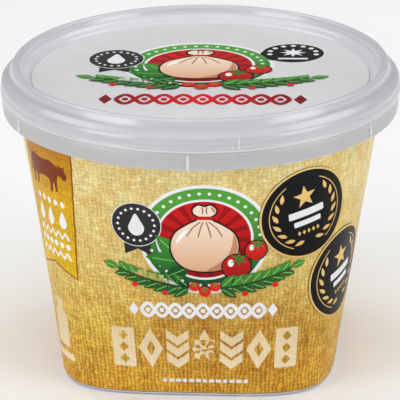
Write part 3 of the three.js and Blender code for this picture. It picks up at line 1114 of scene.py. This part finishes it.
def banner():
    """An amber banner with a notched foot, a cow, and rows of lozenges, drops, waves and dots."""
    torn = frayed([(-7.0, 16.9), (-6.6, -17.0), (2.7, -14.2), (11.1, -17.0), (12.8, 16.9)], 0.7, 0.1)
    zigzag = [(x, 0.75 if i % 2 else -0.75) for i, x in enumerate(np.linspace(-6.0, 6.0, 11))]
    marks = [lozenge(x, 2.9, 1.7, 1.9) for x in np.linspace(-4.8, 4.8, 5)]
    marks += [shifted(rounded(DROP), x, -1.0, 2.0, tall=2.1) for x in (-4.4, 0, 4.4)]
    marks += [strip([(x, y + level) for x, y in zigzag], 0.8) for level in (-5.0, -10.0)]
    marks += [oval(x, -7.5, 0.75, sides=14) for x in np.linspace(-5.4, 5.4, 6)]
    return [
        ("cloth", "amber", 0, [torn]),
        ("edge", "amber_edge", 1, [strip(torn, 0.45)]),
        ("cow", "cow", 1, [mirrored(shifted(COW, -11.0, 5.0, 0.95))]),
        ("marks", "white", 1, [shifted(loop, 3.3, -0.7, 1.06, tall=1.08) for loop in marks]),
    ]


def churn():
    """A milk churn over a bar."""
    return [("body", "cream", 0, [rounded(CHURN, 3)]), ("bar", "cream", 0, [bar(0, -2.6, 9.4, 1.9)])]


def badge():
    """A dark round badge with a drop, dots and two tails."""
    return [
        ("tails", "charcoal", 2, [[(-3.2, -4.0), (3.2, -4.0), (3.2, -8.2), (0, -6.6), (-3.2, -8.2)]]),
        ("edge", "white", 3, [oval(0, 0, 5.95)]),
        ("disc", "charcoal", 4, [oval(0, 0, 5.75)]),
        ("marks", "white", 5, [rounded(LARGE_DROP)] + beads(4.35, 4.35, 0.34, range(0, 360, 20))),
    ]


def starburst():
    """A dark oval with a starburst, a bar and dots round its upper side."""
    dots = beads(6.0, 6.0, 0.7, range(-10, 191, 25), 14)
    return [
        ("edge", "white", 0, [oval(0, 0, 8.3, 8.0)]),
        ("disc", "black", 1, [oval(0, 0, 7.9, 7.6)]),
        ("marks", "white", 2, dots + [star(0, 0.4, 3.4, 1.5, 8), bar(0, -4.6, 7.6, 1.1)]),
    ]


def award():
    """An award sticker's face: gold rings, a laurel, a star and white bars."""
    laurel = []
    for mirror in (True, False):
        for turn in range(-78, 37, 19):
            cos, sin = cos_sin(turn)
            blade = leaf(7.6 * cos, 7.6 * sin, 2.7, 1.05, turn + 66)
            laurel.append(mirrored(blade) if mirror else blade)
    arcs = [strip(oval(0, 0, 9.7, sides=30, start=start, sweep=124), 0.22) for start in (-62, 118)]
    return [
        ("ring", "gold", 0, hoop(0, 0, 12.13, 11.62)),
        ("inner_line", "gold", 0, arcs),
        ("laurel", "gold", 0, laurel),
        ("star", "gold", 0, [star(0, 4.6, 3.1, 1.3)]),
        ("bars", "white", 0, [bar(0, 0.2, 9.6, 1.9), bar(0, -2.4, 7.4, 1.4)]),
        ("dots", "gold", 0, [lozenge(x, -5.0, 0.9, 1.3) for x in (-2.6, -1.3, 0, 1.3, 2.6)]),
    ]


# Middles of the wrap's artwork: length round the wall from the front, and height.
WRAP_PLACES = {"emblem": (3.9, 44.6), "garland": (3.9, 31.2), "badge": (-11.9, 48.2), "name": (3.4, 24.7),
               "product": (3.7, 13.8), "weight": (3.8, 4.7), "banner": (-40.0, 47.5), "churn": (-38.0, 10.2)}
LABEL_MAPPED = ("product", "banner", "churn")  # their inks are measured on the whole label

# Middles of the lid's artwork on the flat, and its scales across and along. All of it is turned a little.
LID_PLACES = {"lid_emblem": (-1.4, 6.2, 1.24, 1.24), "lid_garland": (-0.3, -10.4, 1.28, 1.25),
              "lid_badge": (-22.6, 11.0, 1.2, 1.3), "lid_mark": (22.2, 16.4, 1.0, 1.0),
              "lid_name": (0.4, -20.6, 1.36, 1.9)}
LID_ART_MIDDLE = (0.9, 0.2)
LID_ART_TURN = 2.5

# Middles of the award stickers: length round the wall from the front, and height.
AWARD_PLACES = {"front": (29.5, 50.2), "side": (41.9, 30.6)}
AWARD_TURN = 11.0
AWARD_RADIUS = 12.15
AWARD_THICKNESS = 0.15 * MM
AWARD_OUTSET = 0.27 * MM
AWARD_INK_OUTSET = 0.25 * MM


class CHEESETUB_OT_wrap_art(bpy.types.Operator):
    """Prints the wrap label: emblem, garland, badge, braid, frieze, dotted line, banner and churn"""

    bl_idname = "cheese_tub.wrap_art"
    bl_label = "Wrap artwork"

    def execute(self, context):
        sets = (emblem(), garland(), badge(), braid("white"), frieze(), dotted_line(), banner(), churn())
        for (prefix, place), art in zip(WRAP_PLACES.items(), sets):
            draw(prefix, art, fanned, "wrap_print", *place, own_map=prefix not in LABEL_MAPPED)
        return {"FINISHED"}


class CHEESETUB_OT_lid_art(bpy.types.Operator):
    """Prints the lid label: emblem, garland, badge, starburst and braid"""

    bl_idname = "cheese_tub.lid_art"
    bl_label = "Lid artwork"

    def execute(self, context):
        level = context.scene.cheese_tub_shape.lid_top - PANEL_DOWN * MM
        where = on_lid(*LID_ART_MIDDLE, LID_ART_TURN, level)
        sets = (emblem(), garland(), badge(), starburst(), braid("name_red"))
        for (prefix, place), art in zip(LID_PLACES.items(), sets):
            draw(prefix, art, where, "lid_print", *place, bent=False)
        return {"FINISHED"}


class CHEESETUB_OT_awards(bpy.types.Operator):
    """Builds the two award stickers"""

    bl_idname = "cheese_tub.awards"
    bl_label = "Award stickers"

    def execute(self, context):
        for side, place in AWARD_PLACES.items():
            where = true_shape(*place, AWARD_TURN)
            disc = flat_shape([oval(0, 0, AWARD_RADIUS, sides=96)])
            cut_in_cells(disc, CELL_ACROSS, CELL_UP)
            thicken(disc, AWARD_THICKNESS)
            lay(disc, where, AWARD_OUTSET)
            hand_over(disc, f"award_{side}_disc", INKS["black"], "sticker_print", f"award_sticker_{side}")
            draw(f"award_{side}", award(), raised(where, AWARD_INK_OUTSET), "sticker_print")
        return {"FINISHED"}


# ---- Stage ----

# Degrees round from the front and up, then metres away, wide and high, and watts.
LIGHTS = {
    "light_left": (-50, 16, 0.9, 0.5, 0.6, 2.6),
    "light_right": (63, 16, 0.9, 0.5, 0.6, 2.4),
    "light_back_left": (-128, 52, 1.1, 0.6, 0.5, 1.2),
    "light_back_right": (125, 52, 1.1, 0.6, 0.5, 1.2),
    "light_top": (0, 80, 1.4, 3.0, 3.0, 26.0),
}
LIGHTS_AIM = Vector((0, 0, 45 * MM))
WORLD_COLOUR = (0.96, 0.97, 1.0, 1.0)
WORLD_STRENGTH = 0.22

CAMERA_AZIMUTH = 4.69
CAMERA_ELEVATION = 20.39
CAMERA_ROLL = -0.53
CAMERA_DISTANCE = 0.8368
CAMERA_AIM_HEIGHT = 39.34 * MM
CAMERA_AIM_RIGHT = -0.36 * MM
CAMERA_LENS = 296.4
CAMERA_RANGE = (0.05, 20.0)
FLOOR_SIZE = 8.0
FLOOR_GAP = 0.02 * MM


def towards(azimuth, elevation):
    """Direction from the tub; azimuth 0 is the front and grows to the right."""
    (ahead, right), (level, up) = cos_sin(azimuth), cos_sin(elevation)
    return Vector((right * level, -ahead * level, up))


def soft_box(name, azimuth, elevation, distance, width, height, power):
    """An area light aimed at the middle of the tub."""
    away = towards(azimuth, elevation)
    bpy.ops.object.light_add(type="AREA", location=LIGHTS_AIM + away * distance)
    light = bpy.context.object
    light.name = name
    light.rotation_euler = (-away).to_track_quat("-Z", "Y").to_euler()
    light.data.shape = "RECTANGLE"
    light.data.size, light.data.size_y = width, height
    light.data.energy = power


class CHEESETUB_OT_stage(bpy.types.Operator):
    """Sets the camera, the pale floor and the soft lights"""

    bl_idname = "cheese_tub.stage"
    bl_label = "Stage"

    def execute(self, context):
        self.camera(context.scene)
        self.floor()
        world = bpy.data.worlds.new("studio")
        world.use_nodes = True
        background = world.node_tree.nodes["Background"].inputs
        background["Color"].default_value = WORLD_COLOUR
        background["Strength"].default_value = WORLD_STRENGTH
        context.scene.world = world
        for name, light in LIGHTS.items():
            soft_box(name, *light)
        context.scene.view_settings.view_transform = "Standard"
        return {"FINISHED"}

    @staticmethod
    def camera(scene):
        away = towards(CAMERA_AZIMUTH, CAMERA_ELEVATION)
        aim = Vector((0, 0, CAMERA_AIM_HEIGHT)) + Vector((*cos_sin(CAMERA_AZIMUTH), 0)) * CAMERA_AIM_RIGHT
        deselect()
        bpy.ops.object.camera_add(location=aim + away * CAMERA_DISTANCE)
        camera = bpy.context.object
        camera.name = "camera"
        camera.rotation_mode = "QUATERNION"
        facing = (-away).to_track_quat("-Z", "Y").to_matrix()
        roll = Matrix.Rotation(math.radians(CAMERA_ROLL), 3, "Z")
        camera.rotation_quaternion = (facing @ roll).to_quaternion()
        camera.data.lens = CAMERA_LENS
        camera.data.clip_start, camera.data.clip_end = CAMERA_RANGE
        scene.camera = camera

    @staticmethod
    def floor():
        bpy.ops.mesh.primitive_plane_add(size=FLOOR_SIZE, location=(0, 0, -FLOOR_GAP))
        floor = bpy.context.object
        floor.name = "floor"
        recipe = Recipe("floor_paper")
        grain = recipe.noise(recipe.solid(), 0.02)
        recipe.set(Base_Color=recipe.ramp(grain, [(0.3, (0.93, 0.93, 0.93)), (0.7, (0.95, 0.95, 0.95))]),
                   Roughness=0.9, Specular_IOR_Level=0.1)
        floor.data.materials.append(recipe.material)


class CHEESETUB_PT_panel(bpy.types.Panel):
    """Lists the steps of the tub and its settings"""

    bl_idname = "CHEESETUB_PT_panel"
    bl_label = "Cheese tub"
    bl_space_type = "VIEW_3D"
    bl_region_type = "UI"
    bl_category = "Cheese tub"

    def draw(self, context):
        for settings in (context.scene.cheese_tub_shape, context.scene.cheese_tub_print):
            for name in settings.bl_rna.properties.keys():
                if name not in ("rna_type", "name"):
                    self.layout.prop(settings, name)
        for step in STEPS:
            self.layout.operator(step.bl_idname)


STEPS = (CHEESETUB_OT_stage, CHEESETUB_OT_inks, CHEESETUB_OT_tub, CHEESETUB_OT_lid, CHEESETUB_OT_labels,
         CHEESETUB_OT_wrap_art, CHEESETUB_OT_lid_art, CHEESETUB_OT_awards)
CLASSES = (CheeseTubShape, CheeseTubPrint, *STEPS, CHEESETUB_PT_panel)


def register():
    for cls in CLASSES:
        bpy.utils.register_class(cls)
    bpy.types.Scene.cheese_tub_shape = bpy.props.PointerProperty(type=CheeseTubShape)
    bpy.types.Scene.cheese_tub_print = bpy.props.PointerProperty(type=CheeseTubPrint)


def unregister():
    del bpy.types.Scene.cheese_tub_print
    del bpy.types.Scene.cheese_tub_shape
    for cls in reversed(CLASSES):
        bpy.utils.unregister_class(cls)


def main():
    register()
    bpy.ops.cheese_tub.stage()
    bpy.ops.cheese_tub.inks()
    bpy.ops.cheese_tub.tub()
    bpy.ops.cheese_tub.lid()
    bpy.ops.cheese_tub.labels()
    bpy.ops.cheese_tub.wrap_art()
    bpy.ops.cheese_tub.lid_art()
    bpy.ops.cheese_tub.awards()
    deselect()


if __name__ == "__main__":
    main()
